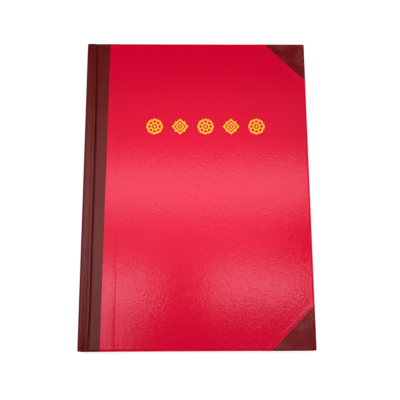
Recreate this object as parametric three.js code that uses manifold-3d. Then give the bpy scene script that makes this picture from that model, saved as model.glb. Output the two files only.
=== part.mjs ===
// A quarter-bound register book, lying closed on its back cover.
// Millimetres. X runs from the spine to the fore-edge, Y from the tail to the head, Z up.
// While the pieces are drawn, X is measured from the back of the leaves.
import * as THREE from 'three';
import { mergeVertices } from 'three/addons/utils/BufferGeometryUtils.js';
import Module from 'manifold-3d';

const wasm = await Module();
wasm.setup();

// Leaves
const leafWidth = 185;
const leafHeight = 260;
const leafThickness = 0.095;
const leavesPerSection = 8;
const sectionCount = 12;
const flyleafThickness = 0.15;

// Cover boards and what is glued to them
const square = 3;
const boardThickness = 2.2;
const boardEdgeRadius = 0.45;
const boardCornerRadius = 0.9;
const coveringThickness = 0.25;
const pastedownThickness = 0.15;
const turnInWidth = 15;
const cornerLegHead = 35.4;
const cornerLegTail = 36.2;
const stripWidthHead = 19.8;
const stripWidthTail = 17.9;

// Spine and joints
const spineBoardThickness = 1.9;
const liningThickness = 0.2;
const mullThickness = 0.2;
const mullMargin = 16;
const hollow = 0.6;
const boardStart = 7;
const grooveWidth = 2;
const shoulderDrop = 0.7;
const shoulderRadius = 0.8;
const ridgeAngle = 64;
const jointLap = 1;

// Headbands
const beadRadius = 0.85;
const tapeThickness = 0.25;
const tapeOnMull = 3;
const headbandMargin = 0.5;

// Clearances
const glueLine = 0.05;
const air = 0.05;
const buttGap = 0.1;

// Facets
const arcSteps = 4;
const roundSteps = 16;
const mergeDistance = 1e-4;
const beyond = 5;

// Heights of the stack
const skinThickness = glueLine + coveringThickness;
const coverThickness = boardThickness + 2 * skinThickness + glueLine + pastedownThickness;
const sectionThickness = leavesPerSection * leafThickness;
const sectionPitch = sectionThickness + air;
const backFlyleafBase = coverThickness + air;
const firstSectionBase = backFlyleafBase + flyleafThickness + air;
const frontFlyleafBase = firstSectionBase + sectionCount * sectionPitch;
const frontCoverBase = frontFlyleafBase + flyleafThickness + air;
const caseThickness = frontCoverBase + coverThickness;

// Places that the case shares
const coverHalfHeight = leafHeight / 2 + square;
const coverEnd = leafWidth + square;
const boardHalfHeight = coverHalfHeight - skinThickness;
const boardEnd = coverEnd - skinThickness;
const boardBase = frontCoverBase + pastedownThickness + glueLine + skinThickness;
const spineThickness = skinThickness + spineBoardThickness + 2 * glueLine + liningThickness + mullThickness;
const spineRadius = spineThickness / 2;
const hingeX = -hollow - spineRadius;
const hingeInset = coverThickness / 2;
const frontHingeZ = caseThickness - hingeInset;
const spineBack = hingeX - spineRadius;
const spineBoardFace = spineBack + skinThickness + spineBoardThickness;

const materials = {
  sidePaper: new THREE.MeshStandardMaterial({ color: 0xd01238, roughness: 0.38, metalness: 0 }),
  cloth: new THREE.MeshStandardMaterial({ color: 0x5f1c1c, roughness: 0.55, metalness: 0 }),
  greyboard: new THREE.MeshStandardMaterial({ color: 0x8f887c, roughness: 0.9, metalness: 0 }),
  textPaper: new THREE.MeshStandardMaterial({ color: 0xf0ebdc, roughness: 0.85, metalness: 0 }),
  endpaper: new THREE.MeshStandardMaterial({ color: 0xf6f3ea, roughness: 0.8, metalness: 0 }),
  kraft: new THREE.MeshStandardMaterial({ color: 0xa9825a, roughness: 0.9, metalness: 0 }),
  mull: new THREE.MeshStandardMaterial({ color: 0xe4ddcb, roughness: 0.95, metalness: 0 }),
  headband: new THREE.MeshStandardMaterial({ color: 0xc9c2b2, roughness: 0.7, metalness: 0 }),
};

function toSolid(geometry) {
  const bare = geometry.clone();
  bare.deleteAttribute('normal');
  bare.deleteAttribute('uv');
  const merged = mergeVertices(bare, mergeDistance);
  return new wasm.Manifold(new wasm.Mesh({
    numProp: 3,
    vertProperties: merged.attributes.position.array,
    triVerts: new Uint32Array(merged.index.array),
  }));
}

function toMesh(name, solid, material) {
  const { vertProperties, triVerts } = solid.getMesh();
  const geometry = new THREE.BufferGeometry();
  geometry.setAttribute('position', new THREE.BufferAttribute(vertProperties, 3));
  geometry.setIndex(new THREE.BufferAttribute(triVerts, 1));
  geometry.computeVertexNormals();
  const mesh = new THREE.Mesh(geometry, material);
  mesh.name = name;
  return mesh;
}

function box(x0, x1, y0, y1, z0, z1) {
  const geometry = new THREE.BoxGeometry(x1 - x0, y1 - y0, z1 - z0);
  geometry.translate((x0 + x1) / 2, (y0 + y1) / 2, (z0 + z1) / 2);
  return toSolid(geometry);
}

// A profile drawn in X and Z, extruded evenly to both sides of the middle of the book.
function alongHeight(profile, halfHeight) {
  const options = { depth: 2 * halfHeight, bevelEnabled: false, curveSegments: roundSteps };
  const geometry = new THREE.ExtrudeGeometry(profile, options);
  geometry.rotateX(Math.PI / 2);
  geometry.translate(0, halfHeight, 0);
  return toSolid(geometry);
}

// An outline drawn in X and Y, extruded upwards.
function upwards(outline, z0, z1) {
  const options = { depth: z1 - z0, bevelEnabled: false, curveSegments: roundSteps };
  const geometry = new THREE.ExtrudeGeometry(outline, options);
  geometry.translate(0, 0, z0);
  return toSolid(geometry);
}

function roundedRectangle(x0, x1, halfHeight, radius) {
  const shape = new THREE.Shape();
  shape.moveTo(x0 + radius, -halfHeight);
  shape.absarc(x1 - radius, radius - halfHeight, radius, -Math.PI / 2, 0);
  shape.absarc(x1 - radius, halfHeight - radius, radius, 0, Math.PI / 2);
  shape.absarc(x0 + radius, halfHeight - radius, radius, Math.PI / 2, Math.PI);
  shape.absarc(x0 + radius, radius - halfHeight, radius, Math.PI, 1.5 * Math.PI);
  return shape;
}

// The front board, or with a margin the surface that lies that far outside it all round.
function boardPlate(margin) {
  const edge = boardEdgeRadius + margin;
  const outline = roundedRectangle(
    boardStart - margin + edge,
    boardEnd + margin - edge,
    boardHalfHeight + margin - edge,
    boardCornerRadius - boardEdgeRadius,
  );
  const geometry = new THREE.ExtrudeGeometry(outline, {
    depth: boardThickness + 2 * margin - 2 * edge,
    bevelThickness: edge,
    bevelSize: edge,
    bevelSegments: arcSteps,
    curveSegments: arcSteps,
  });
  geometry.translate(0, 0, boardBase - margin + edge);
  return toSolid(geometry);
}

// A strip of even thickness whose middle follows the points.
function ribbon(points, thickness) {
  const upper = [];
  const lower = [];
  points.forEach((point, index) => {
    const before = points[Math.max(index - 1, 0)];
    const after = points[Math.min(index + 1, points.length - 1)];
    const normal = after.clone().sub(before).normalize().rotateAround(new THREE.Vector2(), Math.PI / 2);
    upper.push(point.clone().addScaledVector(normal, thickness / 2));
    lower.unshift(point.clone().addScaledVector(normal, -thickness / 2));
  });
  return new THREE.Shape([...upper, ...lower]);
}

// The cloth of the front joint: down the edge of the board, through the groove, over a flat
// shoulder and up to the ridge of the spine, which it leaves along a tangent.
function jointCloth() {
  const edgeX = boardStart - glueLine - coveringThickness / 2;
  const floorZ = frontCoverBase + coveringThickness / 2;
  const grooveRadius = grooveWidth / 2;
  const farX = edgeX - grooveWidth;
  const shoulderZ = caseThickness - shoulderDrop - coveringThickness / 2;
  const rideRadius = spineRadius + air + coveringThickness / 2;
  const leaving = THREE.MathUtils.degToRad(ridgeAngle);
  const ridgeX = hingeX + rideRadius * Math.cos(leaving);
  const ridgeZ = frontHingeZ + rideRadius * Math.sin(leaving);
  const bendX = ridgeX + (ridgeZ - shoulderZ) * Math.tan(leaving);
  const path = new THREE.Path();
  path.moveTo(edgeX, boardBase + jointLap);
  path.lineTo(edgeX, floorZ + grooveRadius);
  path.quadraticCurveTo(edgeX, floorZ, edgeX - grooveRadius, floorZ);
  path.quadraticCurveTo(farX, floorZ, farX, floorZ + grooveRadius);
  path.lineTo(farX, shoulderZ - shoulderRadius);
  path.quadraticCurveTo(farX, shoulderZ, farX - shoulderRadius, shoulderZ);
  path.quadraticCurveTo(bendX, shoulderZ, ridgeX, ridgeZ);
  return alongHeight(ribbon(path.getPoints(arcSteps), coveringThickness), coverHalfHeight);
}

// Everything on the spine side of the edge of the side paper, which runs a little out of square.
function stripRegion(shift) {
  const side = coverHalfHeight + beyond;
  const edgeAt = (y) => {
    const share = (y + coverHalfHeight) / (2 * coverHalfHeight);
    return spineBack + THREE.MathUtils.lerp(stripWidthTail, stripWidthHead, share) + shift;
  };
  const outline = new THREE.Shape();
  outline.moveTo(spineBack - beyond, -side);
  outline.lineTo(edgeAt(-side), -side);
  outline.lineTo(edgeAt(side), side);
  outline.lineTo(spineBack - beyond, side);
  return upwards(outline, frontCoverBase - beyond, caseThickness + beyond);
}

// The corner at the head or, with side -1, at the tail of the fore-edge.
function cornerRegion(side, shift) {
  const leg = (side > 0 ? cornerLegHead : cornerLegTail) + shift + 2 * beyond;
  const outline = new THREE.Shape();
  outline.moveTo(coverEnd + beyond, side * (coverHalfHeight + beyond));
  outline.lineTo(coverEnd + beyond - leg, side * (coverHalfHeight + beyond));
  outline.lineTo(coverEnd + beyond, side * (coverHalfHeight + beyond - leg));
  return upwards(outline, frontCoverBase - beyond, caseThickness + beyond);
}

// The endpaper glued to the inside of the board. It sinks between the turned-in edges.
function pastedown() {
  const start = boardStart + glueLine;
  const halfHeight = leafHeight / 2;
  const sinkEnd = coverEnd - turnInWidth - air;
  const sinkHalf = coverHalfHeight - turnInWidth - air;
  const sinkStart = boardStart + turnInWidth;
  const z0 = frontCoverBase;
  const z1 = z0 + pastedownThickness;
  const z2 = boardBase - glueLine;
  const sheet = box(start, leafWidth, -halfHeight, halfHeight, z0, z1);
  const sunk = box(sinkStart, sinkEnd, -sinkHalf, sinkHalf, z0, z2);
  const well = box(
    sinkStart + pastedownThickness,
    sinkEnd - pastedownThickness,
    pastedownThickness - sinkHalf,
    sinkHalf - pastedownThickness,
    z0 - beyond,
    z2 - pastedownThickness,
  );
  return sheet.add(sunk).subtract(well);
}

// One cover with everything glued to it, drawn as the front one.
// The names say which end of the book its +Y and -Y corners come to.
function cover(prefix, upperEnd, lowerEnd) {
  const opening = box(
    boardStart - beyond,
    coverEnd - turnInWidth,
    turnInWidth - coverHalfHeight,
    coverHalfHeight - turnInWidth,
    boardBase - beyond,
    boardBase,
  );
  const skin = boardPlate(skinThickness).subtract(boardPlate(glueLine)).subtract(opening);
  const upperRegion = cornerRegion(1, 0);
  const lowerRegion = cornerRegion(-1, 0);
  const sidePaper = skin
    .subtract(stripRegion(buttGap))
    .subtract(cornerRegion(1, buttGap))
    .subtract(cornerRegion(-1, buttGap));
  const strip = skin.intersect(stripRegion(0)).add(jointCloth());
  const group = new THREE.Group();
  group.add(
    toMesh(`${prefix}_board`, boardPlate(0), materials.greyboard),
    toMesh(`${prefix}_side_paper`, sidePaper, materials.sidePaper),
    toMesh(`${prefix}_corner_${upperEnd}`, skin.intersect(upperRegion), materials.cloth),
    toMesh(`${prefix}_corner_${lowerEnd}`, skin.intersect(lowerRegion), materials.cloth),
    toMesh(`${prefix}_spine_strip`, strip, materials.cloth),
    toMesh(`${prefix}_pastedown`, pastedown(), materials.endpaper),
  );
  return group;
}

// The rounded outline of the spine, as wide as the radius says on each side of its hinges.
function spineProfile(radius) {
  const shape = new THREE.Shape();
  shape.absarc(hingeX, frontHingeZ, radius, 0, Math.PI);
  shape.absarc(hingeX, hingeInset, radius, Math.PI, 2 * Math.PI);
  return shape;
}

function spineSlab(x0, x1, halfHeight) {
  return box(x0, x1, -halfHeight, halfHeight, -beyond, caseThickness + beyond);
}

function spine() {
  const turnInFace = spineBoardFace + skinThickness;
  const liningFace = spineBoardFace + glueLine + liningThickness;
  const mullFace = liningFace + glueLine + mullThickness;
  const betweenTurnIns = coverHalfHeight - turnInWidth;
  const outside = coverHalfHeight + beyond;
  const core = alongHeight(spineProfile(spineRadius - coveringThickness), boardHalfHeight + glueLine)
    .intersect(spineSlab(spineBack, spineBoardFace + glueLine, outside));
  const cloth = alongHeight(spineProfile(spineRadius), coverHalfHeight)
    .subtract(core)
    .subtract(spineSlab(spineBoardFace + glueLine, beyond, betweenTurnIns))
    .subtract(spineSlab(turnInFace, beyond, outside));
  const board = alongHeight(spineProfile(spineRadius - skinThickness), boardHalfHeight)
    .intersect(spineSlab(spineBack, spineBoardFace, outside));
  const lining = alongHeight(spineProfile(spineRadius), betweenTurnIns - air)
    .intersect(spineSlab(spineBoardFace + glueLine, liningFace, outside));
  const mull = alongHeight(spineProfile(spineRadius), leafHeight / 2 - mullMargin)
    .intersect(spineSlab(liningFace + glueLine, mullFace, outside));
  const group = new THREE.Group();
  group.add(
    toMesh('spine_board', board, materials.greyboard),
    toMesh('spine_cloth', cloth, materials.cloth),
    toMesh('spine_lining', lining, materials.kraft),
    toMesh('mull', mull, materials.mull),
  );
  return group;
}

// A bead that lies over the ends of the folds, on a tape that runs down the inside of the spine.
function headband(name, side) {
  const tapeBack = air - hollow;
  const beadX = tapeBack + beadRadius;
  const beadY = leafHeight / 2 + air + beadRadius;
  const z0 = backFlyleafBase + headbandMargin;
  const z1 = frontCoverBase - headbandMargin;
  const bead = new THREE.Shape();
  bead.absarc(beadX, side * beadY, beadRadius, 0, 2 * Math.PI);
  const tapeEnd = side * (leafHeight / 2 - mullMargin - tapeOnMull);
  const tape = box(
    tapeBack,
    tapeBack + tapeThickness,
    Math.min(side * beadY, tapeEnd),
    Math.max(side * beadY, tapeEnd),
    z0,
    z1,
  );
  return toMesh(name, upwards(bead, z0, z1).add(tape), materials.headband);
}

// Folded sheets, round at the fold and square at the fore-edge. The profile starts at Z 0.
function leaves(name, thickness, base, material) {
  const radius = thickness / 2;
  const profile = new THREE.Shape();
  profile.moveTo(leafWidth, 0);
  profile.lineTo(leafWidth, thickness);
  profile.absarc(radius, radius, radius, Math.PI / 2, 1.5 * Math.PI);
  const mesh = toMesh(name, alongHeight(profile, leafHeight / 2), material);
  mesh.position.z = base;
  return mesh;
}

const book = new THREE.Group();
book.name = 'register_book';

const backCover = cover('back', 'tail', 'head');
backCover.rotation.x = Math.PI;
backCover.position.z = caseThickness;
book.add(backCover, cover('front', 'head', 'tail'), spine());
book.add(headband('headband_head', 1), headband('headband_tail', -1));

book.add(leaves('back_flyleaf', flyleafThickness, backFlyleafBase, materials.endpaper));
for (let number = 1; number <= sectionCount; number += 1) {
  const name = `section_${String(number).padStart(2, '0')}`;
  const base = firstSectionBase + (sectionCount - number) * sectionPitch;
  book.add(leaves(name, sectionThickness, base, materials.textPaper));
}
book.add(leaves('front_flyleaf', flyleafThickness, frontFlyleafBase, materials.endpaper));

// The origin lies under the middle of the closed book.
book.position.x = -(spineBack + coverEnd) / 2;

export default book;
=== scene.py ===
# %% [markdown]
# # A register book
# A lesson in cells. The book comes in as plain CAD solids, and each step dresses one part of it: first the
# covering papers and cloths, then the leaves, the headbands, the gold ornaments, and last the room with its
# lamps and camera. Lengths are in millimetres from the back of the leaves until a piece is finished.

# %% Load the fixed frame
import math
import random

import bmesh
import bpy
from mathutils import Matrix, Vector, noise


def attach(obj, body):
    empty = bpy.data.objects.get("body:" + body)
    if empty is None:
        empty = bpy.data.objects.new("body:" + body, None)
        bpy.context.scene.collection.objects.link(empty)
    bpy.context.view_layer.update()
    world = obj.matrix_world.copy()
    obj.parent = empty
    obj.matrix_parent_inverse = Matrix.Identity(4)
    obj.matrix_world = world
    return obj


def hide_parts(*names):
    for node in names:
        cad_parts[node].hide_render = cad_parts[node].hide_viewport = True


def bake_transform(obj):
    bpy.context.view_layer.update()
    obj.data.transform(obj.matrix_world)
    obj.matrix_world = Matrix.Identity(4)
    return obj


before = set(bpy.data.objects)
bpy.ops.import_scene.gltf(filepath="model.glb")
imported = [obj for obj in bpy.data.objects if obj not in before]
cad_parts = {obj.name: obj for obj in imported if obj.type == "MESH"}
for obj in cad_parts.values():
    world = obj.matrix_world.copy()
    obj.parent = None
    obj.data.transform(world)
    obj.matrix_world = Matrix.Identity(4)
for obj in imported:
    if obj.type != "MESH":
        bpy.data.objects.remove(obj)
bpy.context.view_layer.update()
print("CAD nodes:", len(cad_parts))

# %% [markdown]
# ## Measures
# A bookbinder works from few sizes: the board, the squares that stand past the leaves, the joint between
# board and spine, and the 15 mm that every covering is turned in. The side paper is lowest on the bare
# board, and it climbs on to the cloth wherever the two overlap. The frame's zero lies in the middle of the
# book, so SHIFT_X moves every piece from the back of the leaves to it.

# %% Sizes of the case
MM = 0.001
SHIFT_X = -92.35
HALF_HEIGHT = 133.0
FORE_EDGE = 188.0
CASE_DEPTH = 16.17
INNER_FACE = 13.37
TURN_IN = 15.0
EDGE_ROUND_PLAN = 1.25
EDGE_ROUND_DEEP = 0.8
CORNER_ROUND = 0.9
CLOTH_THICKNESS = 0.2
PAPER_THICKNESS = 0.08
CLOTH_DROP = 0.09
PAPER_DROP = 0.12
STRIP_TAIL = 14.7
STRIP_HEAD = 16.9
CLOTH_END = 25.6
CORNER_LEG_HEAD = 35.4
CORNER_LEG_TAIL = 36.2
print("case:", 2 * HALF_HEIGHT, "mm tall,", CASE_DEPTH, "mm thick")

# %% [markdown]
# ## From numbers to pieces
# Every piece below is drawn in a bmesh. One function turns the millimetres into metres of the frame, marks
# the crisp edges and links the object. A covering gets its thickness from a Solidify modifier, which is
# applied at once, so that the mesh on the book is the final one.


# %% Finish a bmesh as a piece
MERGE_DISTANCE = 1e-4


def frame_point(x, y, z):
    """A place in millimetres of the book, in metres of the frame."""
    return ((x + SHIFT_X) * MM, y * MM, z * MM)


def add_object(name, data):
    item = bpy.data.objects.new(name, data)
    bpy.context.scene.collection.objects.link(item)
    return item


def finish_piece(drawing, name, material, thickness=0.0, crisp=38):
    """An object with this drawing's shape. Edges that bend by more than crisp degrees stay sharp."""
    bmesh.ops.remove_doubles(drawing, verts=drawing.verts, dist=MERGE_DISTANCE)
    for vertex in drawing.verts:
        vertex.co = frame_point(*vertex.co)
    mesh = bpy.data.meshes.new(name)
    drawing.to_mesh(mesh)
    drawing.free()
    piece = add_object(name, mesh)
    if thickness:
        shell = piece.modifiers.new("thickness", "SOLIDIFY")
        shell.thickness = thickness * MM
        shell.offset = -1
        depsgraph = bpy.context.evaluated_depsgraph_get()
        piece.data = bpy.data.meshes.new_from_object(piece.evaluated_get(depsgraph))
        piece.modifiers.clear()
        piece.data.name = name
    piece.data.shade_smooth()
    piece.data.set_sharp_from_angle(angle=math.radians(crisp))
    piece.data.materials.append(material)
    print(name, "has", len(piece.data.polygons), "faces")
    return piece


def bridge(drawing, low, high, closed=True):
    """Faces between two rows of vertices. A closed row also joins its last vertex to its first."""
    count = len(low)
    for k in range(count if closed else count - 1):
        nxt = (k + 1) % count
        drawing.faces.new((low[k], high[k], high[nxt], low[nxt]))


def smoothstep(low, high, value):
    share = min(max((value - low) / (high - low), 0.0), 1.0)
    return share * share * (3 - 2 * share)


# %% [markdown]
# ## Shader arithmetic
# A finish is easier to read as a sum than as a drawing of boxes. This class wraps one output socket. Adding
# or multiplying two of them adds the Math node that does it. Every other node comes from the node method of
# the recipe.


# %% Sockets that take part in sums
class Signal:
    def __init__(self, recipe, socket):
        self.recipe = recipe
        self.socket = socket

    def math(self, operation, *values):
        return self.recipe.node("ShaderNodeMath", {"operation": operation}, dict(enumerate(values)))

    def __add__(self, other):
        return self.math("ADD", self, other)

    def __sub__(self, other):
        return self.math("SUBTRACT", self, other)

    def __rsub__(self, other):
        return self.math("SUBTRACT", other, self)

    def __mul__(self, other):
        return self.math("MULTIPLY", self, other)

    __radd__ = __add__
    __rmul__ = __mul__

    def waves(self, pitch):
        """A sine wave that repeats after every pitch of millimetres."""
        return self.math("SINE", self * (2 * math.pi / pitch))

    def size(self):
        return self.math("ABSOLUTE", self)

    def step(self, low, high):
        settings = {"interpolation_type": "SMOOTHSTEP"}
        return self.recipe.node("ShaderNodeMapRange", settings, {0: self, 1: low, 2: high, 3: 0.0, 4: 1.0})


# %% Recipes for finishes
UV_SPAN = 400.0
UV_MIDDLE = 200.0


def colour(red, green, blue):
    return (red, green, blue, 1.0)


class Recipe:
    def __init__(self, name, **uniform):
        self.material = bpy.data.materials.new(name)
        self.material.use_nodes = True
        self.tree = self.material.node_tree
        self.shader = self.tree.nodes["Principled BSDF"]
        for socket, value in uniform.items():
            self.shader.inputs[socket.replace("_", " ")].default_value = value

    def node(self, kind, settings, sockets, output=0):
        node = self.tree.nodes.new(kind)
        for setting, value in settings.items():
            setattr(node, setting, value)
        for socket, value in sockets.items():
            self.put(node.inputs[socket], value)
        return Signal(self, node.outputs[output])

    def put(self, socket, value):
        if isinstance(value, Signal):
            self.tree.links.new(value.socket, socket)
        else:
            socket.default_value = value

    def place(self, kind, scale):
        point = self.node("ShaderNodeTexCoord", {}, {}, kind)
        return self.node("ShaderNodeVectorMath", {"operation": "SCALE"}, {0: point, "Scale": scale})

    def millimetres(self):
        """The place on the closed book, in millimetres."""
        return self.place("Object", 1000.0)

    def cloth_millimetres(self):
        """The place on the flat cloth, in millimetres. A UV coordinate of 1 stands for UV_SPAN of them."""
        return self.place("UV", UV_SPAN)

    def stretch(self, place, x, y, z=1.0):
        return self.node("ShaderNodeVectorMath", {"operation": "MULTIPLY"}, {0: place, 1: (x, y, z)})

    def axis(self, place, name):
        return self.node("ShaderNodeSeparateXYZ", {}, {0: place}, name)

    def noise(self, place, scale=1.0, detail=2.0, roughness=0.5):
        sockets = {"Vector": place, "Scale": scale, "Detail": detail, "Roughness": roughness}
        return self.node("ShaderNodeTexNoise", {}, sockets)

    def mix(self, share, first, second):
        settings = {"data_type": "RGBA"}
        return self.node("ShaderNodeMix", settings, {0: share, 6: first, 7: second}, 2)

    def relief(self, height, depth):
        """A Bump node whose full height is depth millimetres."""
        bump = self.node("ShaderNodeBump", {}, {"Strength": 1.0, "Distance": depth * MM, "Height": height})
        self.put(self.shader.inputs["Normal"], bump)

    def finish(self, **varying):
        for socket, value in varying.items():
            self.put(self.shader.inputs[socket.replace("_", " ")], value)
        print("finish:", self.material.name)
        return self.material


# %% [markdown]
# ## The red side paper
# The sides are covered in red paper with a satin plastic film. The film shines broadly, never sharply, and
# it has an orange-peel surface that breaks the shine up. The relief is a smooth noise of a little over a
# millimetre with a rougher, finer noise on top. The finer one also varies the roughness, and a slow one
# shifts the red a little.


# %% Satin-laminated red paper
def laminated_paper():
    red = Recipe("laminated_red_paper", Specular_IOR_Level=0.41, Specular_Tint=colour(1.0, 0.8, 1.0))
    place = red.millimetres()
    grain = red.noise(place, scale=0.75, detail=4.0, roughness=0.65)
    fine = grain.step(0.35, 0.65)
    clouds = red.noise(place, scale=0.018)
    shade = red.mix(clouds, colour(0.645, 0.0003, 0.027), colour(0.715, 0.0006, 0.031))
    shade = red.mix(fine * 0.5, shade, colour(0.79, 0.001, 0.038))
    peel = red.noise(place, scale=0.78, detail=0.0)
    red.relief(peel + grain * 0.35, depth=0.068)
    return red.finish(Base_Color=shade, Roughness=0.095 + fine * 0.1)


paper_red = laminated_paper()

# %% [markdown]
# ## The maroon book cloth
# Book cloth is a plain weave that is dyed, starched and pressed, so the threads are low and the gaps are
# filled. Two sine waves at right angles give the threads. Stretched noises make some threads thicker than
# others. The cloth bends with the joints, so its pattern follows UV coordinates that lie in the flat cloth.
# The corners are a redder dye lot, and handling has left pale flecks on them.


# %% Starched maroon cloth
THREAD_PITCH = 0.52


def book_cloth(name, dark, light, fleck, fleck_share):
    cloth = Recipe(name, Specular_IOR_Level=0.38)
    place = cloth.cloth_millimetres()
    warp = cloth.axis(place, "X").waves(THREAD_PITCH)
    weft = cloth.axis(place, "Y").waves(THREAD_PITCH)
    weave = warp * weft * 0.5 + 0.5
    slubs_along = cloth.noise(cloth.stretch(place, 2.2, 0.12))
    slubs_across = cloth.noise(cloth.stretch(place, 0.12, 2.2))
    slubs = (slubs_along + slubs_across) * 0.5
    mottle = cloth.noise(place, scale=0.09, detail=3.0)
    shade = cloth.mix((slubs * 0.6 + mottle * 0.4).step(0.35, 0.65), dark, light)
    # Painted shade: where the weave is low, between the threads, the colour is mixed towards near black.
    shade = cloth.mix((1 - weave) * 0.18, shade, colour(0.04, 0.004, 0.004))
    worn = cloth.noise(place, scale=0.074, detail=1.0).step(0.4, 0.62)
    flecks = cloth.noise(place, scale=0.8, detail=3.0, roughness=0.7).step(0.44, 0.78) * worn
    shade = cloth.mix(flecks * fleck_share, shade, fleck)
    cloth.relief(weave * 0.6 + slubs * 0.8, depth=0.035)
    return cloth.finish(Base_Color=shade, Roughness=0.19 + slubs * 0.1 - flecks * 0.04)


cloth_strip = book_cloth("spine_cloth_maroon", dark=colour(0.12, 0.005, 0.0045),
                         light=colour(0.155, 0.008, 0.0075), fleck=colour(0.2, 0.06, 0.05), fleck_share=0.15)
cloth_corner = book_cloth("corner_cloth_maroon", dark=colour(0.165, 0.0015, 0.004),
                          light=colour(0.215, 0.003, 0.006), fleck=colour(0.42, 0.15, 0.15), fleck_share=0.75)

# %% [markdown]
# ## Papers and boards inside
# The leaves are ruled ledger paper: pale blue rows 8 mm apart and fine red columns inside a plain margin. A
# sine wave crosses zero at every line, so its size tells how far the nearest line is. The endpaper is
# heavier and plain, with fibres in it. The greyboard, the kraft lining and the gauze are rough and mostly
# hidden, and each gets its own grain all the same.


# %% Ruled ledger paper
ROW_PITCH = 8.0
COLUMN_PITCH = 25.0
RULED_HALF_WIDTH = 76.0
RULED_HALF_HEIGHT = 112.0
SOFT_END = 0.4


def ledger_paper():
    page = Recipe("ruled_ledger_paper", Specular_IOR_Level=0.3)
    place = page.millimetres()
    fibres = page.noise(page.stretch(place, 0.5, 1.6), detail=4.0, roughness=0.6)
    shade = page.mix(fibres.step(0.3, 0.7), colour(0.8, 0.745, 0.62), colour(0.87, 0.825, 0.71))
    x = page.axis(place, "X")
    y = page.axis(place, "Y")
    beside = x.size().step(RULED_HALF_WIDTH, RULED_HALF_WIDTH + SOFT_END)
    beyond = y.size().step(RULED_HALF_HEIGHT, RULED_HALF_HEIGHT + SOFT_END)
    printed = (1 - beside) * (1 - beyond)
    rows = (0.06 - y.waves(2 * ROW_PITCH).size()).step(0.0, 0.03) * printed
    columns = (0.02 - (x + 4).waves(2 * COLUMN_PITCH).size()).step(0.0, 0.01) * printed
    shade = page.mix(rows * 0.55, shade, colour(0.2, 0.36, 0.55))
    shade = page.mix(columns * 0.6, shade, colour(0.55, 0.12, 0.12))
    page.relief(fibres, depth=0.015)
    return page.finish(Base_Color=shade, Roughness=0.86 - fibres * 0.08)


paper_ruled = ledger_paper()


# %% Plain fibrous sheets
def fibrous(name, dark, light, along, across, roughness, depth):
    sheet = Recipe(name, Specular_IOR_Level=0.3)
    place = sheet.millimetres()
    fibres = sheet.noise(sheet.stretch(place, along, across), detail=4.0, roughness=0.65)
    specks = sheet.noise(place, scale=1.7, detail=1.0).step(0.66, 0.74)
    shade = sheet.mix(fibres.step(0.3, 0.7), dark, light)
    shade = sheet.mix(specks * 0.35, shade, dark)
    sheet.relief(fibres, depth)
    return sheet.finish(Base_Color=shade, Roughness=roughness - fibres * 0.08)


paper_end = fibrous("endpaper_ivory", colour(0.8, 0.77, 0.68), colour(0.88, 0.86, 0.79),
                    along=1.2, across=0.4, roughness=0.82, depth=0.012)
board_grey = fibrous("binders_board_grey", colour(0.2, 0.185, 0.16), colour(0.33, 0.31, 0.28),
                     along=0.8, across=1.3, roughness=0.94, depth=0.05)
paper_kraft = fibrous("kraft_lining", colour(0.3, 0.17, 0.075), colour(0.44, 0.27, 0.13),
                      along=1.6, across=0.25, roughness=0.9, depth=0.02)


# %% Gauze and headband thread
GAUZE_PITCH = 0.9
STRAND = 0.4
STRIPE = 1.6


def gauze():
    mull = Recipe("mull_gauze", Specular_IOR_Level=0.2)
    place = mull.millimetres()
    warp = mull.axis(place, "Y").waves(GAUZE_PITCH).step(0.2, 0.7)
    weft = mull.axis(place, "Z").waves(GAUZE_PITCH).step(0.2, 0.7)
    net = warp.math("MAXIMUM", warp, weft)
    shade = mull.mix(net, colour(0.36, 0.31, 0.22), colour(0.76, 0.71, 0.58))
    mull.relief(net, depth=0.12)
    return mull.finish(Base_Color=shade, Roughness=0.95 - net * 0.05)


def headband_thread():
    silk = Recipe("headband_silk", Specular_IOR_Level=0.4, Sheen_Weight=0.15)
    place = silk.millimetres()
    height = silk.axis(place, "Z")
    stripe = height.waves(STRIPE).step(-0.12, 0.12)
    strand = height.waves(STRAND) * 0.5 + 0.5
    shade = silk.mix(stripe, colour(0.72, 0.66, 0.53), colour(0.2, 0.018, 0.02))
    # Painted shade: the hollows between the wound strands are mixed towards a dark brown.
    shade = silk.mix((1 - strand) * 0.35, shade, colour(0.07, 0.02, 0.02))
    silk.relief(strand, depth=0.06)
    return silk.finish(Base_Color=shade, Roughness=0.55 - strand * 0.1)


gauze_cotton = gauze()
thread_silk = headband_thread()

# %% [markdown]
# ## Gold foil
# The marks on the cover are hot-stamped. Foil takes on the grain of the paper under it, so it glitters in
# small flecks. In a white room it reads as a warm yellow with little shine, so the finish is only slightly
# metallic.


# %% Stamped gold foil
def gold_foil():
    gold = Recipe("stamped_gold_foil", Specular_IOR_Level=0.6)
    place = gold.millimetres()
    grain = gold.noise(place, scale=1.1)
    shade = gold.mix(grain.step(0.3, 0.7), colour(1.0, 0.55, 0.004), colour(1.0, 0.68, 0.01))
    gold.relief(grain, depth=0.02)
    return gold.finish(Base_Color=shade, Roughness=0.3 + grain * 0.14, Metallic=0.06 + grain * 0.1)


foil = gold_foil()

# %% [markdown]
# ## Covering a board
# A covering wraps the board: over its face, round the edge, down the side, round again and 15 mm in. The
# skin is drawn as rings round the board, from the face outwards and back in, with a grid inside the first
# ring. The pressed board has a hardly visible raised rim, so the rings nearest the edge climb a few
# hundredths. Cutting this one skin with upright planes then gives the paper and the corner cloths, each
# with clean edges.


# %% Rings of a wrapped skin
RIM_HEIGHT = 0.05
RIM_FOOT = 3.4
RIM_TOP = 1.7
FACE_RINGS = ((6.0, 0.0), (RIM_FOOT, 0.0), (2.3, 0.5), (RIM_TOP, 1.0))
TURNED_RINGS = (2.0, 5.0, 9.0, 12.0, TURN_IN)
EDGE_STEPS = 7
CELLS_ACROSS = 34
CELLS_ALONG = 46
CORNER_STEPS = 6


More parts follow.
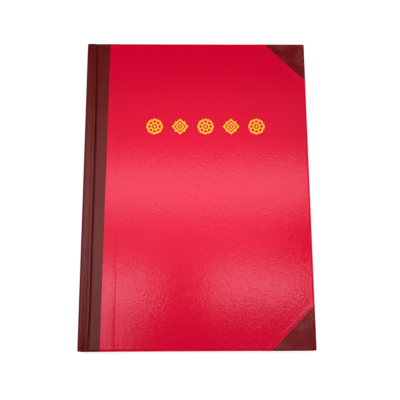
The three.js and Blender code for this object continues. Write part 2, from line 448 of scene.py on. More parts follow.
def skin_stations(drop):
    """Inset and height of each ring of a skin that lies drop inside the full size."""
    face = CASE_DEPTH - drop
    floor = INNER_FACE + drop
    angles = [math.pi / 2 * step / EDGE_STEPS for step in range(EDGE_STEPS + 1)]
    stations = [(inset, face + RIM_HEIGHT * share) for inset, share in FACE_RINGS]
    for angle in angles:
        inset = drop + EDGE_ROUND_PLAN * (1 - math.sin(angle))
        stations.append((inset, face - EDGE_ROUND_DEEP * (1 - math.cos(angle))))
    for angle in angles:
        inset = drop + EDGE_ROUND_PLAN * (1 - math.cos(angle))
        stations.append((inset, floor + EDGE_ROUND_DEEP * (1 - math.sin(angle))))
    return stations + [(inset, floor) for inset in TURNED_RINGS]


def ring_points(inset):
    """One turn round the board, with the same number of points whatever the inset."""
    radius = max(CORNER_ROUND - inset, 0.0)
    x0, x1, y1 = inset, FORE_EDGE - inset, HALF_HEIGHT - inset
    arcs = []
    for x, y, first in ((x1, -y1, 270), (x1, y1, 0), (x0, y1, 90), (x0, -y1, 180)):
        middle = Vector((x - math.copysign(radius, x - FORE_EDGE / 2), y - math.copysign(radius, y)))
        angles = [math.radians(first + 90 * k / CORNER_STEPS) for k in range(CORNER_STEPS + 1)]
        arcs.append([middle + radius * Vector((math.cos(a), math.sin(a))) for a in angles])
    points = []
    for index, bend in enumerate(arcs):
        following = arcs[(index + 1) % 4][0]
        count = (CELLS_ALONG, CELLS_ACROSS)[index % 2]
        points += bend + [bend[-1].lerp(following, k / count) for k in range(1, count)]
    return points


print("rings:", len(skin_stations(PAPER_DROP)), "points in a ring:", len(ring_points(0.0)))


# %% The whole skin of one board
def wrapped_skin(drop):
    drawing = bmesh.new()
    stations = skin_stations(drop)
    rings = [[drawing.verts.new((p.x, p.y, z)) for p in ring_points(inset)] for inset, z in stations]
    for inner, outer in zip(rings, rings[1:]):
        bridge(drawing, inner, outer)
    inset, face = stations[0]
    x0, x1, y1 = inset, FORE_EDGE - inset, HALF_HEIGHT - inset
    grid = [[drawing.verts.new((x0 + (x1 - x0) * i / CELLS_ACROSS, 2 * y1 * j / CELLS_ALONG - y1, face))
             for j in range(CELLS_ALONG + 1)] for i in range(CELLS_ACROSS + 1)]
    for low, high in zip(grid, grid[1:]):
        bridge(drawing, low, high, closed=False)
    bmesh.ops.remove_doubles(drawing, verts=drawing.verts, dist=MERGE_DISTANCE)
    bmesh.ops.dissolve_degenerate(drawing, edges=drawing.edges, dist=MERGE_DISTANCE / 10)
    bmesh.ops.recalc_face_normals(drawing, faces=drawing.faces)
    largest = max(drawing.faces, key=lambda f: f.calc_area())
    if largest.normal.z < 0:
        bmesh.ops.reverse_faces(drawing, faces=drawing.faces)
    return drawing


def cut(drawing, point, outward, keep_all=False):
    """Cuts along an upright plane and drops what lies on its outward side, or keeps both sides."""
    whole = drawing.verts[:] + drawing.edges[:] + drawing.faces[:]
    bmesh.ops.bisect_plane(drawing, geom=whole, dist=MERGE_DISTANCE, plane_co=(*point, 0.0),
                           plane_no=(*outward, 0.0), clear_outer=not keep_all)


# %% [markdown]
# ## Where the papers and cloths meet
# The edge of the side paper runs a little out of square down the strip, and it crosses each corner at 45
# degrees. The cloth goes on under the paper. Its hidden edge still shows, because the paper climbs on to it
# there: that soft step is a line in the red, almost parallel to the strip and to each corner.


# %% Lines across the cover
class Line:
    """An upright cut through two points, with its normal on the side of the third."""

    def __init__(self, first, second, beyond):
        self.point = Vector(first)
        along = (Vector(second) - self.point).normalized()
        normal = Vector((-along.y, along.x))
        self.normal = normal if (Vector(beyond) - self.point).dot(normal) > 0 else -normal

    def distance(self, x, y):
        return (Vector((x, y)) - self.point).dot(self.normal)


def corner_line(side, leg, tuck_edge=0.0, tuck_fore=0.0):
    """The slanted edge over a corner. The tucks are how far cloth goes on under the paper at its ends."""
    first = (FORE_EDGE - leg - tuck_edge, side * HALF_HEIGHT)
    second = (FORE_EDGE, side * (HALF_HEIGHT - leg - tuck_fore))
    return Line(first, second, (FORE_EDGE, side * HALF_HEIGHT))


paper_start = Line((STRIP_TAIL, -HALF_HEIGHT), (STRIP_HEAD, HALF_HEIGHT), (0.0, 0.0))
cloth_under = Line((CLOTH_END - 0.3, -HALF_HEIGHT), (CLOTH_END + 0.2, HALF_HEIGHT), (0.0, 0.0))
paper_corners = [corner_line(1, CORNER_LEG_HEAD), corner_line(-1, CORNER_LEG_TAIL)]
cloth_corners = [corner_line(1, CORNER_LEG_HEAD, tuck_edge=5.6, tuck_fore=2.0),
                 corner_line(-1, CORNER_LEG_TAIL, tuck_edge=2.8, tuck_fore=2.2)]

# Each step of the paper: the line where it is complete, its width, and its height as a share of PAPER_DROP.
steps = [(cloth_under, 1.0, 1.0), (cloth_corners[0], 2.4, 0.7), (cloth_corners[1], 2.2, 0.5)]


def overlap(x, y):
    """How far the paper is lifted: 1 on the strip, less on the thinly pared corners, 0 on bare board."""
    return max(height * smoothstep(-width, 0.0, line.distance(x, y)) for line, width, height in steps)


# %% Let the faces follow their board
WARP_HEIGHT = 0.1
WARP_FADE = 25.0
FACE_BAND = 0.5


def warp_of_board(x, y):
    """The slight unevenness of a board that has dried in the press. It fades out towards the edges."""
    inside = smoothstep(0.0, WARP_FADE, min(FORE_EDGE - x, HALF_HEIGHT - abs(y), x))
    slow = noise.noise(Vector((x / 70, y / 80, 3.7)))
    return WARP_HEIGHT * inside * (slow - 0.35)


def warp_face(drawing):
    """Lifts or lowers the face of a covering with its board."""
    for vertex in drawing.verts:
        if vertex.co.z > CASE_DEPTH - FACE_BAND:
            vertex.co.z += warp_of_board(vertex.co.x, vertex.co.y)


print("lines across the cover:", len(paper_corners) + len(cloth_corners) + 2)

# %% [markdown]
# ## The side papers
# The paper is the wrapped skin less the strip and the two corners. Extra cuts that remove nothing put
# vertices along each step, and then the vertices on the cloth are pushed out along their normals. The back
# cover is the front one, turned over: half a turn about the line across the book, halfway between head and
# tail.

# %% Turn a front piece over to the back
RAMP_CUTS = 4


def turn_over(drawing):
    for vertex in drawing.verts:
        vertex.co = Vector((vertex.co.x, -vertex.co.y, CASE_DEPTH - vertex.co.z))


def for_both_covers(draw):
    """Draws a piece for the front cover and once more, turned over, for the back cover."""
    for side in ("front", "back"):
        drawing = draw()
        if side == "back":
            turn_over(drawing)
        yield side, drawing


def side_paper():
    drawing = wrapped_skin(PAPER_DROP)
    cut(drawing, paper_start.point, paper_start.normal)
    for line in paper_corners:
        cut(drawing, line.point, line.normal)
    for line, width, _ in steps:
        for k in range(RAMP_CUTS + 1):
            cut(drawing, line.point - line.normal * (width * k / RAMP_CUTS), line.normal, keep_all=True)
    drawing.normal_update()
    warp_face(drawing)
    for vertex in drawing.verts:
        vertex.co += vertex.normal * (PAPER_DROP * overlap(vertex.co.x, vertex.co.y))
    return drawing


for side, drawing in for_both_covers(side_paper):
    paper = finish_piece(drawing, side + "_cover_paper", paper_red, PAPER_THICKNESS)
    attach(paper, side + "_cover")
    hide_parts(side + "_side_paper")

# %% [markdown]
# ## The cloth corners
# Each corner is the same skin beyond its own line, a little under the paper. The UV coordinates are the
# plan of the cover, and the height is added to both, so that the weave isn't drawn out down the sides.
# Turned over, the corner at the head becomes the one at the tail of the back cover.

# %% Lay the weave on a flat cloth
WEAVE_LEAN = 0.7


def lay_weave(drawing):
    """UV coordinates from the plan of the cloth. The added lengths keep them above zero."""
    layer = drawing.loops.layers.uv.new("weave")
    for face in drawing.faces:
        for loop in face.loops:
            x, y, z = loop.vert.co
            down = WEAVE_LEAN * z
            loop[layer].uv = ((x + 10 + down) / UV_SPAN, (y + UV_MIDDLE + down) / UV_SPAN)


for side, names in (("front", ("head", "tail")), ("back", ("tail", "head"))):
    for name, line in zip(names, cloth_corners):
        drawing = wrapped_skin(CLOTH_DROP)
        cut(drawing, line.point, -line.normal)
        warp_face(drawing)
        lay_weave(drawing)
        if side == "back":
            turn_over(drawing)
        corner = finish_piece(drawing, side + "_corner_cloth_" + name, cloth_corner, CLOTH_THICKNESS)
        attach(corner, side + "_cover")
        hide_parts(side + "_corner_" + name)

# %% [markdown]
# ## The spine cloth
# One cloth runs from under the front paper, over the board's edge, down the groove, up the shoulder, over
# the ridge and down the back of the spine. It is drawn in two halves that meet in the middle of the spine,
# so that each crosses one hinge. A profile gives the outside of the cloth, and a second one gives the
# inside, where the cloth comes back after it is turned in over the head and the tail. As in the photograph,
# the groove bends towards the spine at both ends and gets shallower there, the shoulder sags more towards
# the tail, and a few small wrinkles run into the groove near the tail.

# %% Profile across the joint
HINGE_X = -1.95
HINGE_Z = 14.67
CREST_ROUND = 1.4
CREST_RISE = 1.42
CREST = HINGE_Z + CREST_RISE
CLOTH_FACE = CASE_DEPTH - CLOTH_DROP
CLOTH_INSIDE = INNER_FACE + CLOTH_DROP
BOARD_ROUND = 0.38
GROOVE_NEAR = 6.8
GROOVE_WIDTH = 1.1
GROOVE_FLOOR = 14.25
FLOOR_ROUND = 0.4
SLOPE_RUN = 0.7
LIP_DROP = 0.32
LIP_ACROSS = 0.3
LIP_DEEP = 0.25
CREST_POINTS = 24
CLOSER_POINTS = 9.0
CREASE_HEIGHT = 0.35
CREASE_PITCH = 1.7
SPINE_MIDDLE = CASE_DEPTH / 2
SPINE_INSIDE = -0.8


def spread(first, last, count):
    """Evenly spaced values from the first up to but not including the last."""
    return [first + (last - first) * k / count for k in range(count)]


def arc(x, z, across, deep, first, last, count):
    """Points on a rounded bend. Angles are in degrees, 90 is up."""
    return [(x + across * math.cos(math.radians(a)), z + deep * math.sin(math.radians(a)))
            for a in spread(first, last, count)]


# %% [markdown]
# The profile is drawn in four stretches. Each point of the outside comes with the point of the inside that
# it turns in to, which runs under it and is drawn together where the bends are tight.


# %% From the board to the lip of the groove
def on_board(near):
    """The cloth on the board and round its edge."""
    flat = spread(CLOTH_END, CLOSER_POINTS, 6) + spread(CLOSER_POINTS, near + BOARD_ROUND, 3)
    bend = arc(near + BOARD_ROUND, CLOTH_FACE - BOARD_ROUND, BOARD_ROUND, BOARD_ROUND, 90, 180, 7)
    pairs = [((x, CLOTH_FACE), (x, CLOTH_INSIDE)) for x in flat]
    return pairs + [(p, (near + 0.95 - 0.07 * k, CLOTH_INSIDE)) for k, p in enumerate(bend)]


def in_groove(near, far, deep, lip):
    """Down the board's edge, round the floor of the groove and up the slope to the lip."""
    floor_z = deep + FLOOR_ROUND
    lip_z = lip - LIP_DEEP
    middle = (near + far) / 2
    wall = [(near, z) for z in spread(CLOTH_FACE - BOARD_ROUND, floor_z, 5)]
    floor = arc(middle, floor_z, (near - far) / 2, FLOOR_ROUND, 0, -180, 10)
    slope = [(far - (SLOPE_RUN - LIP_ACROSS) * k / 5, z) for k, z in enumerate(spread(floor_z, lip_z, 5))]
    bend = arc(far - SLOPE_RUN, lip_z, LIP_ACROSS, LIP_DEEP, 0, 90, 5)
    pairs = [(p, (near + 0.4 - 0.08 * k, CLOTH_INSIDE - 0.04 * k)) for k, p in enumerate(wall)]
    pairs += [((x, z), (middle + (x - middle) * 1.25, z - 0.5)) for x, z in floor]
    pairs += [((x, z), (x - 0.45, z - 0.1)) for x, z in slope]
    return pairs + [((x, z), (x - 0.25, z - 0.5)) for x, z in bend]


# %% From the lip to the middle of the spine
def on_shoulder(y, start, lip, sag, crease):
    """Across the hollow of the shoulder and up the swell to the crest, with the wrinkles."""
    pairs = []
    for k in range(CREST_POINTS):
        share = k / CREST_POINTS
        x = start - (start - HINGE_X) * share
        swell = smoothstep(0.3, 0.82, share)
        hollow = sag * math.sin(math.pi * min(max((share - 0.2) / 0.62, 0.0), 1.0)) ** 2
        ripple = math.sin(2 * math.pi * x / CREASE_PITCH + 0.05 * y)
        folds = crease * (ripple * math.sin(math.pi * share) ** 0.5 - 0.4)
        z = lip + (CREST - lip) * swell - hollow + folds
        inside = smoothstep(0.6, 1.0, share)
        pairs.append(((x, z), (x + 0.1 + 0.9 * inside, z - 0.5 - 0.75 * inside)))
    return pairs


def on_spine():
    """Round the crest and down the back of the spine to its middle."""
    bend = arc(HINGE_X, HINGE_Z, CREST_ROUND, CREST_RISE, 90, 180, 9)
    pairs = [(p, (SPINE_INSIDE - 0.05, CREST - 1.25 - 0.11 * k)) for k, p in enumerate(bend)]
    for z in spread(HINGE_Z, SPINE_MIDDLE, 7) + [SPINE_MIDDLE]:
        share = (HINGE_Z - z) / (HINGE_Z - SPINE_MIDDLE)
        pairs.append(((HINGE_X - CREST_ROUND, z), (SPINE_INSIDE, 13.8 + (SPINE_MIDDLE - 13.8) * share)))
    return pairs


def joint_profile(y):
    """Pairs of an outside and an inside point at a height of the book. The measures change along it."""
    to_tail = smoothstep(-10.0, -115.0, y)
    sag = 0.15 + 0.2 * to_tail
    lip = CLOTH_FACE - LIP_DROP - 0.1 * to_tail
    near = GROOVE_NEAR - 1.0 * smoothstep(65.0, 130.0, y) - 0.7 * smoothstep(-95.0, -130.0, y)
    far = near - GROOVE_WIDTH
    deep = GROOVE_FLOOR + 0.6 * smoothstep(70.0, 118.0, y) + 0.7 * smoothstep(-108.0, -126.0, y)
    crease = CREASE_HEIGHT * smoothstep(15.0, 3.0, HALF_HEIGHT - abs(y)) * (1 if y < 0 else 0.2)
    shoulder = on_shoulder(y, far - SLOPE_RUN, lip, sag, crease)
    return on_board(near) + in_groove(near, far, deep, lip) + shoulder + on_spine()


print("points across the joint:", len(joint_profile(0.0)))

# %% [markdown]
# The cloth is turned in at both ends. On the boards and on the spine it goes 15 mm in. In the joint, where
# there is nothing to wrap, it is folded back on itself into a narrow hem, which keeps clear of the leaves.


# %% Rows of the cloth, from hem to hem
HEM = 2.6
END_STEPS = 5
END_CLOTH = 3.0
SPINE_CORNER = 0.75
SPINE_FADE = 1.5
STRIP_ROWS = 44


def turned_in(pair):
    """How far in the cloth is turned at this point of the profile."""
    x = pair[0][0]
    in_joint = smoothstep(7.6, 6.6, x) * smoothstep(-2.6, -1.6, x)
    return TURN_IN + (HEM - TURN_IN) * in_joint


def end_round(pair):
    """How far before the end the cloth starts to bend over it."""
    outer, inner = (Vector(p) for p in pair)
    on_spine = smoothstep(-1.0, -2.0, outer.x)
    widest = EDGE_ROUND_PLAN + (SPINE_CORNER - EDGE_ROUND_PLAN) * on_spine
    return min(widest, 0.45 * (outer - inner).length + 0.1)


def rounded_end(x, y, z):
    """Pulls the back of the spine in at its ends, so that its corners are round, and raises the rim."""
    end = HALF_HEIGHT - abs(y)
    near_end = max(SPINE_CORNER - end, 0.0)
    pull = SPINE_CORNER - math.sqrt(SPINE_CORNER ** 2 - near_end ** 2)
    share = min(max((HINGE_X + SPINE_FADE - x) / (CREST_ROUND + SPINE_FADE), 0.0), 1.0)
    rim = RIM_HEIGHT * smoothstep(RIM_FOOT, RIM_TOP, end) if z > 15.0 else 0.0
    return (x + pull * share, y, z + rim)


# %% Rows of the ends and of the length
def turned_rows(side):
    """The rows of one end, from the hem inside to the outside, each with its place on the weave."""
    rows = []
    profile = joint_profile(side * HALF_HEIGHT)
    for share in (1.0, 0.6, 0.3, 0.0):
        row = []
        for pair in profile:
            inner_x, inner_z = pair[1]
            bend = end_round(pair)
            row.append((inner_x, side * (HALF_HEIGHT - bend - (turned_in(pair) - bend) * share), inner_z))
        rows.append((row, side * (HALF_HEIGHT + END_CLOTH + TURN_IN * share)))
    for step in range(1, 2 * END_STEPS):
        row = []
        angle = math.pi / 2 * (step / END_STEPS)
        for pair in profile:
            outer, inner = (Vector(p) for p in pair)
            bend = end_round(pair)
            depth = (outer - inner).length
            rim = min(bend, depth / 2)
            if angle <= math.pi / 2:
                share = rim * (1 - math.cos(angle)) / depth
            else:
                share = 1 - rim * (1 + math.cos(angle)) / depth
            point = inner.lerp(outer, share)
            row.append(rounded_end(point.x, side * (HALF_HEIGHT - bend + bend * math.sin(angle)), point.y))
        rows.append((row, side * (HALF_HEIGHT + END_CLOTH * (1 - step / (2 * END_STEPS)))))
    return rows


def cloth_rows():
    """All rows of half the cloth, from the head's hem to the tail's. They lie closer near the ends."""
    middle = []
    for k in range(STRIP_ROWS + 1):
        y = HALF_HEIGHT * math.sin((1 - 2 * k / STRIP_ROWS) * math.pi / 2)
        row = []
        for pair in joint_profile(y):
            limit = HALF_HEIGHT - end_round(pair)
            row.append(rounded_end(pair[0][0], max(-limit, min(limit, y * limit / HALF_HEIGHT)), pair[0][1]))
        middle.append((row, y))
    return turned_rows(1) + middle + turned_rows(-1)[::-1]


print("rows of the cloth:", len(cloth_rows()))


# %% Draw one half of the cloth
def spine_cloth_half():
    drawing = bmesh.new()
    layer = drawing.loops.layers.uv.new("weave")
    rows = cloth_rows()
    verts = [[drawing.verts.new(point) for point in row] for row, _ in rows]
    along = [place for _, place in rows]
    flat = joint_profile(0.0)
    across = [0.0]
    for (first, _), (second, _) in zip(flat, flat[1:]):
        across.append(across[-1] + (Vector(second) - Vector(first)).length)
    for j in range(len(rows) - 1):
        for i in range(len(flat) - 1):
            corners = ((j, i), (j, i + 1), (j + 1, i + 1), (j + 1, i))
            face = drawing.faces.new([verts[row][column] for row, column in corners])
            for loop, (row, column) in zip(face.loops, corners):
                loop[layer].uv = ((across[column] + 5) / UV_SPAN, (along[row] + UV_MIDDLE) / UV_SPAN)
    drawing.normal_update()
    on_face = Vector((15, 0, CLOTH_FACE))
    nearest = min(drawing.faces, key=lambda f: (f.calc_center_median() - on_face).length)
    if nearest.normal.z < 0:
        bmesh.ops.reverse_faces(drawing, faces=drawing.faces)
    return drawing


# %% Bake the cloth in place
BEND_AT_SPINE = (-2.126, 12.714)
BEND_AT_COVER = (2.2, 15.6)


def bend_with_joint(piece, side):
    """Works out the two ends of the bend for this side, which nothing uses, and bakes the piece's place into
    its mesh.
    """
    if side == "front":
        frame_point(BEND_AT_SPINE[0], 0, BEND_AT_SPINE[1])
        frame_point(BEND_AT_COVER[0], 0, BEND_AT_COVER[1])
        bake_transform(piece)
    else:
        frame_point(BEND_AT_COVER[0], 0, CASE_DEPTH - BEND_AT_COVER[1])
        frame_point(BEND_AT_SPINE[0], 0, CASE_DEPTH - BEND_AT_SPINE[1])
        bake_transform(piece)


for side, drawing in for_both_covers(spine_cloth_half):
    cloth = finish_piece(drawing, side + "_half_of_spine_cloth", cloth_strip, CLOTH_THICKNESS, crisp=50)
    bend_with_joint(cloth, side)
    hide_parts(side + "_spine_strip", "spine_cloth")

# %% [markdown]
# ## The endpaper in the joint
# The endpaper isn't only glued to the board. It goes on over the board's edge and is pressed into the
# joint, so an open book shows no cloth there. This strip starts at the glued sheet, dips to the floor of
# the groove and follows the inside of the cloth up to the spine.

# %% Line the joints with paper
LINING_START = [(7.03, 13.24), (6.85, 13.3), (6.65, 13.44), (6.45, 13.66)]
LINING_REACH = (-0.3, 6.0)
LINING_HALF_HEIGHT = 129.6
LINING_GAP = 0.27
LINING_THICKNESS = 0.1
LINING_ROWS = 40


def joint_lining():
    """A strip of paper just under the cloth. Every row gets as many points as the shortest one."""
    drawing = bmesh.new()
    rows = []
    for k in range(LINING_ROWS + 1):
        y = LINING_HALF_HEIGHT * (2 * k / LINING_ROWS - 1)
        pressed = [outer for outer, _ in joint_profile(y)]
        path = LINING_START[:]
        for before, (x, z), after in zip(pressed, pressed[1:], pressed[2:]):
            along = (Vector(after) - Vector(before)).normalized()
            if LINING_REACH[0] < x < LINING_REACH[1] and along.x < -0.2:
                path.append((x - along.y * LINING_GAP, z + along.x * LINING_GAP))
        rows.append((y, path))
    fewest = min(len(path) for _, path in rows)
    verts = []
    for y, path in rows:
        picked = [path[round(k * (len(path) - 1) / (fewest - 1))] for k in range(fewest)]
        verts.append([drawing.verts.new((x, y, z)) for x, z in picked])
    for low, high in zip(verts, verts[1:]):
        bridge(drawing, low, high, closed=False)
    bmesh.ops.recalc_face_normals(drawing, faces=drawing.faces)
    return drawing


for side, drawing in for_both_covers(joint_lining):
    lining = finish_piece(drawing, side + "_joint_endpaper", paper_end, LINING_THICKNESS, crisp=60)
    bend_with_joint(lining, side)

# %% [markdown]
# ## The leaves
# A section is four sheets folded into each other, which makes eight leaves. Each sheet is a thin U that
# runs the height of the book. The block is trimmed after sewing, so the leaves end together, within about a
# tenth of a millimetre. That small scatter is what makes the edge of a book look like many leaves.

# %% Fold and nest the sheets
LEAF_WIDTH = 185.0
LEAF_HALF_HEIGHT = 130.0
SHEETS = 4
LEAF_PITCH = 0.095
LEAF_THICKNESS = 0.082
SECTION_THICKNESS = 2 * SHEETS * LEAF_PITCH
SECTION_PITCH = 0.81
FIRST_BASE = 3.25
SECTIONS = 12
SCATTER_FORE = 0.12
SCATTER_ENDS = 0.1
scatter = random.Random(7)


def folded_sheet(drawing, base, number):
    """A closed U-shaped ribbon, extruded along the height of the book."""
    middle = base + SECTION_THICKNESS / 2
    outer = SECTION_THICKNESS / 2 - number * LEAF_PITCH
    inner = outer - LEAF_THICKNESS
    fold_x = SECTION_THICKNESS / 2
    top_end = LEAF_WIDTH - scatter.uniform(0.0, SCATTER_FORE)
    low_end = LEAF_WIDTH - scatter.uniform(0.0, SCATTER_FORE)
    ring = [(top_end, middle + outer)] + arc(fold_x, middle, outer, outer, 90, 270, 8)
    ring += [(fold_x, middle - outer), (low_end, middle - outer)]
    ring += [(low_end, middle - inner), (fold_x, middle - inner)]
    ring += arc(fold_x, middle, inner, inner, 90, 270, 8)[::-1] + [(top_end, middle + inner)]
    head = LEAF_HALF_HEIGHT - scatter.uniform(0.0, SCATTER_ENDS)
    tail = scatter.uniform(0.0, SCATTER_ENDS) - LEAF_HALF_HEIGHT
    ends = [[drawing.verts.new((x, y, z)) for x, z in ring] for y in (tail, head)]
    bridge(drawing, ends[0], ends[1])
    count = len(ring)
    for end in ends:
        for k in range(count // 2 - 1):
            drawing.faces.new((end[k], end[k + 1], end[count - 2 - k], end[count - 1 - k]))


for number in range(1, SECTIONS + 1):
    drawing = bmesh.new()
    base = FIRST_BASE + (SECTIONS - number) * SECTION_PITCH
    for sheet in range(SHEETS):
        folded_sheet(drawing, base, sheet)
    bmesh.ops.recalc_face_normals(drawing, faces=drawing.faces)
    name = "section_%02d" % number
    leaves = finish_piece(drawing, "leaves_of_" + name, paper_ruled)
    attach(leaves, name)
    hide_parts(name)
print("sections:", SECTIONS, "leaves:", SECTIONS * SHEETS * 2)

# %% [markdown]
# ## The headbands
# A headband is a cord wound with silk in two colours, sewn or glued over the ends of the folds. The winding
# makes a row of small rings, so the tube swells and narrows once for each strand.

# %% Wind the headbands
BAND_X = 0.30
BAND_Y = 130.9
BAND_RADIUS = 0.85
BAND_LOW = 3.55
BAND_HIGH = 12.67
BAND_ROUND = 0.35
TAPE_X = (-0.55, -0.3)
TAPE_Y = (111.0, BAND_Y)
STEPS_PER_STRAND = 6
ROUND_STEPS = 20


def closed_tube(drawing, rings):
    for low, high in zip(rings, rings[1:]):
        bridge(drawing, low, high)
    drawing.faces.new(rings[0][::-1])
    drawing.faces.new(rings[-1])


def wound_cord(drawing, sign):
    """A tube that swells once for each strand, leans with the winding and is rounded at both ends."""
    steps = round((BAND_HIGH - BAND_LOW) / STRAND * STEPS_PER_STRAND)
    rings = []
    for k in range(steps + 1):
        z = BAND_LOW + (BAND_HIGH - BAND_LOW) * k / steps
        near_end = smoothstep(0.0, BAND_ROUND, min(z - BAND_LOW, BAND_HIGH - z))
        swell = 0.94 + 0.06 * math.cos(2 * math.pi * z / STRAND)
        radius = BAND_RADIUS * swell * (0.55 + 0.45 * near_end)
        ring = []
        for turn in range(ROUND_STEPS):
            angle = 2 * math.pi * turn / ROUND_STEPS
            x = BAND_X + radius * math.cos(angle)
            y = sign * BAND_Y + radius * math.sin(angle)
            lean = 0.06 * math.sin(angle) * near_end
            ring.append(drawing.verts.new((x, y, z + lean)))
        rings.append(ring)
    closed_tube(drawing, rings)


def band_tape(drawing, sign):
    (x0, x1), (y0, y1) = TAPE_X, TAPE_Y
    plan = ((x0, y0), (x1, y0), (x1, y1), (x0, y1))
    rings = [[drawing.verts.new((x, sign * y, z)) for x, y in plan] for z in (BAND_LOW, BAND_HIGH)]
    closed_tube(drawing, rings)


for end, sign in (("head", 1), ("tail", -1)):
    drawing = bmesh.new()
    wound_cord(drawing, sign)
    band_tape(drawing, sign)
    bmesh.ops.recalc_face_normals(drawing, faces=drawing.faces)
    band = finish_piece(drawing, "wound_headband_" + end, thread_silk, crisp=60)
    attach(band, "spine")
    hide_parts("headband_" + end)

# %% [markdown]
# ## Finishes for the CAD pieces that stay
# The boards, the glued endpapers, the flyleaves and the linings already have the right shape. They only get
# their finish.

# %% Dress the CAD nodes
stays = {"spine_board": board_grey, "spine_lining": paper_kraft, "mull": gauze_cotton}
for side in ("front", "back"):
    stays.update({side + "_board": board_grey, side + "_pastedown": paper_end, side + "_flyleaf": paper_end})
for name, material in stays.items():
    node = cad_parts[name]
    node.data.materials.clear()
    node.data.materials.append(material)
print("CAD pieces dressed:", len(stays))

# %% [markdown]
# ## The gold ornaments
# Five ornaments stand in a row across the upper part of the cover: rosettes and lozenges in turn. Each is
# made of bands round a centre and of small dots. A band lies between two outlines, which are given as the
# distance from the centre in each direction. The foil is only a few hundredths thick and follows the paper
# under it.

# %% Draw bands and dots of foil
FOIL_HEIGHT = 0.025
ORNAMENT_Y = 55.8
ORNAMENT_X = 100.2
ORNAMENT_PITCH = 21.9
OUTLINE_STEPS = 96


def foil_level(x, y):
    return CASE_DEPTH - PAPER_DROP + warp_of_board(x, y)


def foil_band(drawing, cx, cy, outer, inner):
    """A closed band between two outlines round a centre."""
    rings = []
    for reach, side in ((outer, -1), (outer, 1), (inner, 1), (inner, -1)):
        ring = []
        for k in range(OUTLINE_STEPS):
            angle = 2 * math.pi * k / OUTLINE_STEPS
            x = cx + reach(angle) * math.cos(angle)
            y = cy + reach(angle) * math.sin(angle)
            ring.append(drawing.verts.new((x, y, foil_level(x, y) + side * FOIL_HEIGHT)))
        rings.append(ring)
    for low, high in zip(rings, rings[1:] + rings[:1]):
        bridge(drawing, low, high)


def dot(drawing, cx, cy, radius):
    foil_band(drawing, cx, cy, lambda a: radius, lambda a: radius * 0.02)


def dots_round(drawing, cx, cy, count, away, radius):
    """A ring of dots, turned so that none of them stands straight beside the centre."""
    for k in range(count):
        angle = math.pi * (2 * k + 1) / count
        dot(drawing, cx + away * math.cos(angle), cy + away * math.sin(angle), radius)


def petals(count, reach, depth, turn=0.0):
    """An outline with a number of round petals."""
    return lambda a: reach - depth + depth * abs(math.cos(count * (a - turn) / 2)) ** 0.7


def diamond(reach):
    return lambda a: reach / (abs(math.cos(a)) + abs(math.sin(a)))


# %% Rosettes and lozenges
ORNAMENTS = 5
PETALS = 8


def rosette(drawing, cx, cy):
    turn = math.pi / PETALS
    foil_band(drawing, cx, cy, petals(PETALS, reach=7.0, depth=1.7), petals(PETALS, reach=5.7, depth=1.7))
    foil_band(drawing, cx, cy, petals(PETALS, 3.9, 1.3, turn), petals(PETALS, 2.7, 1.1, turn))
    dot(drawing, cx, cy, radius=0.9)
    dots_round(drawing, cx, cy, count=PETALS, away=6.6, radius=0.45)


def lozenge(drawing, cx, cy):
    foil_band(drawing, cx, cy, diamond(7.1), diamond(5.6))
    foil_band(drawing, cx, cy, diamond(3.9), diamond(2.6))
    dot(drawing, cx, cy, radius=0.85)
    dots_round(drawing, cx, cy, count=4, away=5.6, radius=0.6)


for number in range(ORNAMENTS):
    drawing = bmesh.new()
    centre_x = ORNAMENT_X + (number - ORNAMENTS // 2) * ORNAMENT_PITCH
    draw = rosette if number % 2 == 0 else lozenge
    draw(drawing, centre_x, ORNAMENT_Y)
    bmesh.ops.recalc_face_normals(drawing, faces=drawing.faces)
    ornament = finish_piece(drawing, "gold_ornament_%d" % (number + 1), foil)
    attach(ornament, "front_cover")
print("ornaments:", ORNAMENTS)

# %% [markdown]
# ## The room
# The book lies on white, under soft lamps. The floor is pale grey paint, so it throws little light back at
# the book. Only to the camera it also glows, and more so away from the book, where the lamps don't reach.
# It reads as a plain white ground and still takes the book's shadow. The book has no metal or glass part
# that would mirror the floor. The world is white to the camera and adds a faint, even light.


# %% Floor and world
FLOOR_LEVEL = -0.00007
FLOOR_REACH = 3.0
WORLD_LEVEL = 0.02


def pale_floor():
    drawing = bmesh.new()
    for x, y in ((-1, -1), (1, -1), (1, 1), (-1, 1)):
        drawing.verts.new((x * FLOOR_REACH, y * FLOOR_REACH, FLOOR_LEVEL))
    drawing.faces.new(drawing.verts[:])
    mesh = bpy.data.meshes.new("floor")
    drawing.to_mesh(mesh)
    drawing.free()
    floor = add_object("floor", mesh)
    paint = Recipe("pale_floor_paint", Roughness=0.9, Specular_IOR_Level=0.1, Emission_Strength=1.0,
                   Base_Color=colour(0.35, 0.35, 0.35))
    seen = paint.node("ShaderNodeLightPath", {}, {}, "Is Camera Ray")
    place = paint.node("ShaderNodeTexCoord", {}, {}, "Object")
    distance = paint.node("ShaderNodeVectorMath", {"operation": "LENGTH"}, {0: place}, "Value")
    glow = paint.mix(seen * (distance.step(0.45, 1.6) * 0.18 + 0.82), colour(0, 0, 0), colour(1, 1, 1))
    mesh.materials.append(paint.finish(Emission_Color=glow))


def even_world(level):
    world = bpy.data.worlds.new("studio")
    bpy.context.scene.world = world
    world.use_nodes = True
    nodes = world.node_tree.nodes
    links = world.node_tree.links
    background = nodes["Background"]
    path = nodes.new("ShaderNodeLightPath")
    strength = nodes.new("ShaderNodeMapRange")
    strength.inputs[3].default_value = level
    strength.inputs[4].default_value = 1.0
    links.new(path.outputs["Is Camera Ray"], strength.inputs[0])
    links.new(strength.outputs[0], background.inputs["Strength"])
    background.inputs["Color"].default_value = colour(1, 1, 1)


pale_floor()
even_world(WORLD_LEVEL)
print("world level:", WORLD_LEVEL)

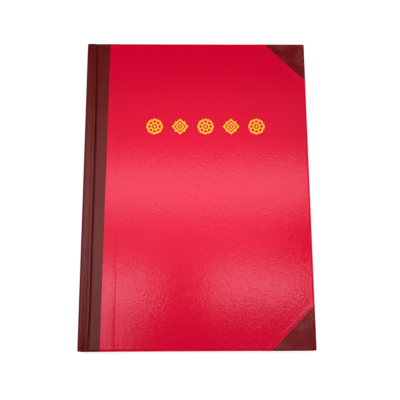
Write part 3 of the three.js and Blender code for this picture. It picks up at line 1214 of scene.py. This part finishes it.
# %% [markdown]
# ## The lamps
# A satin cover shows each softbox as a blurred patch, so the small lamps hang where their patches are
# wanted. Three wide boxes, from the middle to past the head, give the band across the cover and its soft
# edges. Smaller ones give the two patches below it and the shine on the spine. They add little light. Most
# of it comes from four low softboxes, one on each side, and from two soft spots that make the middle of the
# cover a little brighter than its ends. The cover doesn't mirror these.

# %% Softboxes
CEILING = 0.47


def lamp(name, kind, watts, **settings):
    data = bpy.data.lights.new(name, kind)
    data.energy = watts
    for setting, value in settings.items():
        setattr(data, setting, value)
    item = add_object(name, data)
    item.visible_camera = False
    return item


def softbox(name, width, depth, watts):
    return lamp(name, "AREA", watts, shape="RECTANGLE", size=width, size_y=depth)


def aim(item, place, target=(0.0, 0.0, 0.0)):
    """Turns a lamp to a target. The cover doesn't mirror it."""
    item.location = place
    item.rotation_euler = (Vector(target) - Vector(place)).to_track_quat("-Z", "Y").to_euler()
    item.visible_glossy = False


# %% Hang the lamps
# The softboxes of the ceiling face straight down. Their width runs across the book.
for name, x, y, width, depth, watts in (
        ("band", 0.0, 0.121, 0.38, 0.07, 0.268),
        ("head", 0.0, 0.225, 0.40, 0.10, 0.04),
        ("middle", -0.02, 0.046, 0.30, 0.10, 0.066),
        ("right", 0.095, -0.030, 0.145, 0.043, 0.091),
        ("left", -0.125, -0.033, 0.135, 0.043, 0.085),
        ("lower_left", -0.145, -0.092, 0.09, 0.08, 0.045),
        ("spine", -0.153, -0.050, 0.07, 0.085, 0.045)):
    softbox(name + "_softbox", width, depth, watts).location = (x, y, CEILING)
for name, place, width, depth, watts in (
        ("spine_side", (-0.75, -0.02, 0.24), 0.5, 0.4, 2.4),
        ("fore_edge_side", (0.75, -0.02, 0.24), 0.5, 0.4, 2.4),
        ("tail_side", (0.0, -0.85, 0.22), 0.7, 0.36, 3.5),
        ("head_side", (0.0, 0.85, 0.22), 0.7, 0.36, 4.3)):
    aim(softbox(name + "_softbox", width, depth, watts), place)
for name, x, watts in (("left_spot", -0.65, 18.6), ("right_spot", 0.65, 14.5)):
    spot = lamp(name, "SPOT", watts, spot_size=math.radians(19), spot_blend=1.0, shadow_soft_size=0.1)
    aim(spot, place=(x, 0.01, 0.78), target=(0.0, -0.008, 0.0))
print("lamps:", len(bpy.data.lights))

# %% [markdown]
# ## The camera
# The photograph looks down from a little towards the tail. The lens and the place were worked out from how
# far the cover's sides converge, and the picture is square.

# %% Camera
SENSOR = 36.0
PICTURE_WIDTH = 400
FOCAL_LENGTH_IN_PIXELS = 700
CAMERA_PLACE = (-0.00688, -0.14569, 0.58639)
CAMERA_TURN = (13.465, -0.900, -0.278)
view = bpy.data.cameras.new("camera")
view.sensor_width = SENSOR
view.lens = SENSOR * FOCAL_LENGTH_IN_PIXELS / PICTURE_WIDTH
camera = add_object("camera", view)
camera.location = CAMERA_PLACE
camera.rotation_euler = [math.radians(angle) for angle in CAMERA_TURN]
bpy.context.scene.camera = camera
bpy.context.scene.view_settings.view_transform = "Standard"
print("lens:", view.lens)
